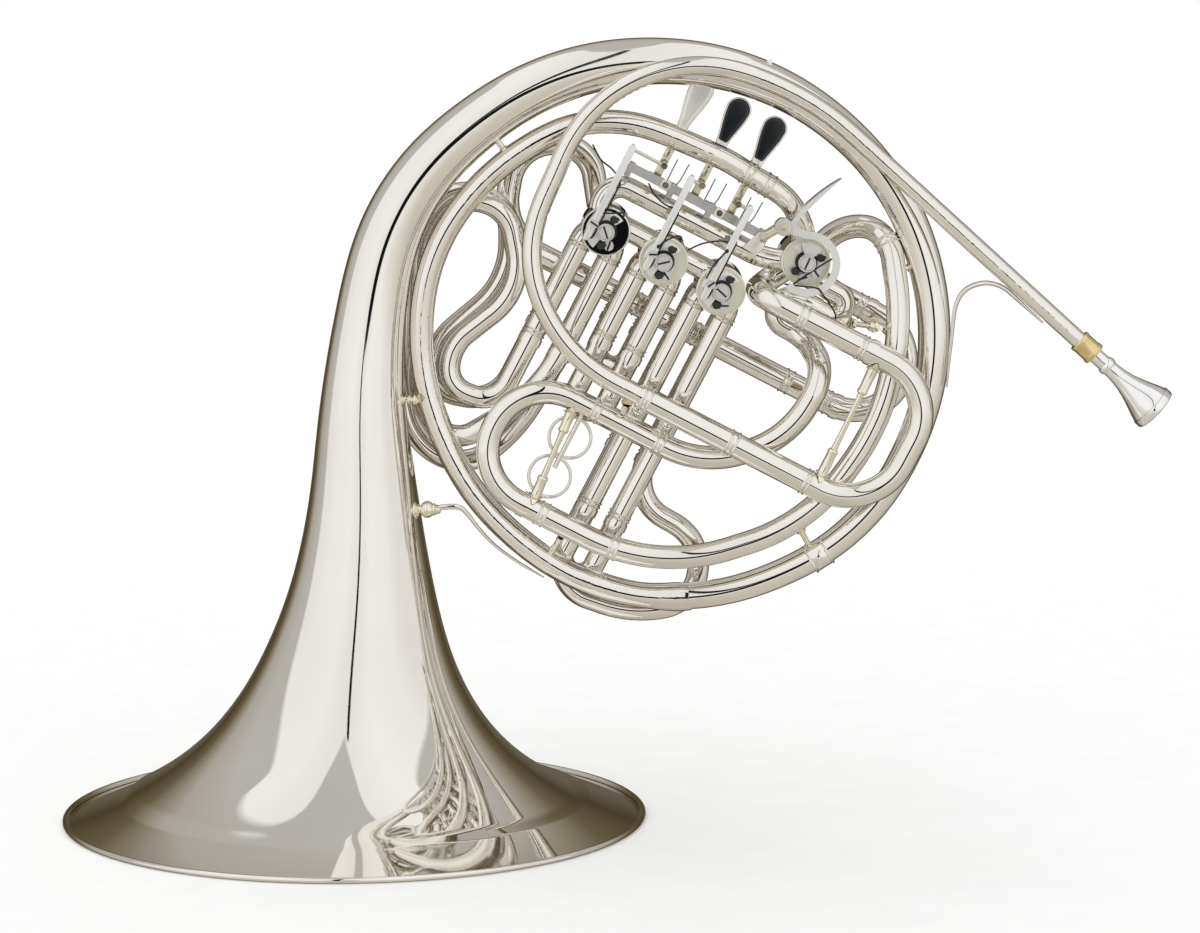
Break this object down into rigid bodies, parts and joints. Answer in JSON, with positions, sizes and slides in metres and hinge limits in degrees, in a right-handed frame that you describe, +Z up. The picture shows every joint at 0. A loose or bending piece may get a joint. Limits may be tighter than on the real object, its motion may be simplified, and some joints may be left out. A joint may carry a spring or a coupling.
{
  "type": "french horn",
  "caption": "Wound brass horn standing on its flared bell, with rotary valves worked by strings and finger levers, pull-out tuning slides and a removable mouthpiece.",
  "frame": {"origin": "centre of the bell's mouth, in the plane of its rim", "axes": "+Z up along the bell's axis, +X towards the mouthpiece side, +Y away from the side that carries the levers and stop plates"},
  "size_m": [0.5911, 0.3144, 0.42],
  "materials": {
    "silver_tube": "bright silver-toned plate, polished",
    "pale_fittings": "pale gold lacquered nickel alloy, polished",
    "valve_silver": "satin machined nickel silver",
    "bumper_black": "black rubber bumper",
    "steel_rod": "grey steel, satin",
    "lever_plate": "polished plate, black finger pads on two levers",
    "string_black": "braided cord, matt black"
  },
  "bodies": {
    "horn": {"bell_flare": "silver_tube", "bell_tail": "silver_tube", "bell_rim_wire": "silver_tube", "first_branch": "silver_tube", "leadpipe": "silver_tube", "receiver_ring": "pale_fittings", "main_sleeve_lower": "silver_tube", "main_sleeve_upper": "silver_tube", "f_upper_tube": "silver_tube", "f_lower_tube": "silver_tube", "change_run_lower": "silver_tube", "change_run_upper": "silver_tube", "crossing_tube": "silver_tube", "valve_links": "silver_tube", "valve_casing_1": "silver_tube", "valve_casing_2": "silver_tube", "valve_casing_3": "silver_tube", "valve_casing_4": "silver_tube", "rear_valve_caps": "silver_tube", "bearing_plates": "valve_silver", "stop_bumpers": "bumper_black", "valve_slide_sleeves": "silver_tube", "hinge_rack": "steel_rod", "hinge_rod": "steel_rod", "lever_springs": "steel_rod", "thumb_bracket": "pale_fittings", "joint_ferrules": "pale_fittings", "body_braces": "pale_fittings", "s_brace": "pale_fittings", "bell_brace": "pale_fittings"},
    "main_slide": {"main_slide_bow": "silver_tube", "main_slide_strut": "pale_fittings"},
    "f_slide": {"f_slide_bow": "silver_tube", "f_slide_strut": "pale_fittings", "pull_rings": "silver_tube"},
    "change_slide": {"change_slide_bow": "silver_tube"},
    "crook_slide": {"thumb_crook": "silver_tube"},
    "mouthpiece_body": {"mouthpiece": "silver_tube"},
    "valve_1_front": {"valve_1_front_slide": "silver_tube"},
    "valve_1_rear": {"valve_1_rear_slide": "silver_tube"},
    "valve_2_front": {"valve_2_front_slide": "silver_tube"},
    "valve_2_rear": {"valve_2_rear_slide": "silver_tube"},
    "valve_3_front": {"valve_3_front_slide": "silver_tube"},
    "valve_3_rear": {"valve_3_rear_slide": "silver_tube"},
    "lever_1": {"lever_1": "lever_plate"},
    "link_1": {"link_bar_1": "lever_plate", "valve_string_1": "string_black"},
    "rotor_1": {"rotor_1": "valve_silver"},
    "lever_2": {"lever_2": "lever_plate"},
    "link_2": {"link_bar_2": "lever_plate", "valve_string_2": "string_black"},
    "rotor_2": {"rotor_2": "valve_silver"},
    "lever_3": {"lever_3": "lever_plate"},
    "link_3": {"link_bar_3": "lever_plate", "valve_string_3": "string_black"},
    "rotor_3": {"rotor_3": "valve_silver"},
    "thumb_lever": {"thumb_lever": "lever_plate", "valve_string_4": "string_black"},
    "rotor_4": {"rotor_4": "valve_silver"}
  },
  "joints": [
    {"name": "main_slide_pull", "type": "slide", "parent": "horn", "child": "main_slide", "axis": [0.887, 0, -0.4617], "range_m": [0, 0.035]},
    {"name": "f_slide_pull", "type": "slide", "parent": "horn", "child": "f_slide", "axis": [-0.887, 0, 0.4617], "range_m": [0, 0.012]},
    {"name": "change_slide_pull", "type": "slide", "parent": "horn", "child": "change_slide", "axis": [0.887, 0, -0.4617], "range_m": [0, 0.009]},
    {"name": "crook_pull", "type": "slide", "parent": "horn", "child": "crook_slide", "axis": [0.887, 0, -0.4617], "range_m": [0, 0.008]},
    {"name": "valve_1_front_pull", "type": "slide", "parent": "horn", "child": "valve_1_front", "axis": [-0.4617, 0, -0.887], "range_m": [0, 0.008]},
    {"name": "valve_1_rear_pull", "type": "slide", "parent": "horn", "child": "valve_1_rear", "axis": [-0.4617, 0, -0.887], "range_m": [0, 0.008]},
    {"name": "valve_2_front_pull", "type": "slide", "parent": "horn", "child": "valve_2_front", "axis": [-0.4617, 0, -0.887], "range_m": [0, 0.02]},
    {"name": "valve_2_rear_pull", "type": "slide", "parent": "horn", "child": "valve_2_rear", "axis": [-0.4617, 0, -0.887], "range_m": [0, 0.02]},
    {"name": "valve_3_front_pull", "type": "slide", "parent": "horn", "child": "valve_3_front", "axis": [-0.4617, 0, -0.887], "range_m": [0, 0.02]},
    {"name": "valve_3_rear_pull", "type": "slide", "parent": "horn", "child": "valve_3_rear", "axis": [-0.4617, 0, -0.887], "range_m": [0, 0.015]},
    {"name": "lever_1_press", "type": "hinge", "parent": "horn", "child": "lever_1", "pos_m": [0.16238, 0.012, 0.34285], "axis": [-0.887, 0, 0.4617], "range_deg": [0, 18], "stiffness_Nm_per_rad": 0.4, "springref_deg": -14.32},
    {"name": "link_1_lift", "type": "slide", "parent": "horn", "child": "link_1", "axis": [0.4617, 0, 0.887], "range_m": [0, 0.0075]},
    {"name": "rotor_1_turn", "type": "hinge", "parent": "horn", "child": "rotor_1", "pos_m": [0.136, 0.02, 0.316], "axis": [0, 1, 0], "range_deg": [0, 91]},
    {"name": "lever_2_press", "type": "hinge", "parent": "horn", "child": "lever_2", "pos_m": [0.18234, 0.012, 0.33246], "axis": [-0.887, 0, 0.4617], "range_deg": [0, 18], "stiffness_Nm_per_rad": 0.4, "springref_deg": -14.32},
    {"name": "link_2_lift", "type": "slide", "parent": "horn", "child": "link_2", "axis": [0.4617, 0, 0.887], "range_m": [0, 0.0075]},
    {"name": "rotor_2_turn", "type": "hinge", "parent": "horn", "child": "rotor_2", "pos_m": [0.1666, 0.02, 0.30007], "axis": [0, 1, 0], "range_deg": [0, 91]},
    {"name": "lever_3_press", "type": "hinge", "parent": "horn", "child": "lever_3", "pos_m": [0.20141, 0.012, 0.32254], "axis": [-0.887, 0, 0.4617], "range_deg": [0, 18], "stiffness_Nm_per_rad": 0.4, "springref_deg": -14.32},
    {"name": "link_3_lift", "type": "slide", "parent": "horn", "child": "link_3", "axis": [0.4617, 0, 0.887], "range_m": [0, 0.0075]},
    {"name": "rotor_3_turn", "type": "hinge", "parent": "horn", "child": "rotor_3", "pos_m": [0.1972, 0.02, 0.28414], "axis": [0, 1, 0], "range_deg": [0, 91]},
    {"name": "thumb_press", "type": "hinge", "parent": "horn", "child": "thumb_lever", "pos_m": [0.22953, -0.016, 0.31917], "axis": [0, -1, 0], "range_deg": [0, 12.6], "stiffness_Nm_per_rad": 0.4, "springref_deg": -14.32},
    {"name": "rotor_4_turn", "type": "hinge", "parent": "horn", "child": "rotor_4", "pos_m": [0.24241, 0.02, 0.2995], "axis": [0, -1, 0], "range_deg": [0, 91]},
    {"name": "mouthpiece_pull", "type": "slide", "parent": "horn", "child": "mouthpiece_body", "axis": [0.7418, 0, -0.6706], "range_m": [0, 0.025]}
  ],
  "couplings": [
    {"joint": "link_1_lift", "follows": "lever_1_press", "m_per_rad": 0.023491},
    {"joint": "rotor_1_turn", "follows": "lever_1_press", "ratio": 5},
    {"joint": "link_2_lift", "follows": "lever_2_press", "m_per_rad": 0.023491},
    {"joint": "rotor_2_turn", "follows": "lever_2_press", "ratio": 5},
    {"joint": "link_3_lift", "follows": "lever_3_press", "m_per_rad": 0.023491},
    {"joint": "rotor_3_turn", "follows": "lever_3_press", "ratio": 5},
    {"joint": "rotor_4_turn", "follows": "thumb_press", "ratio": 7.1429}
  ]
}
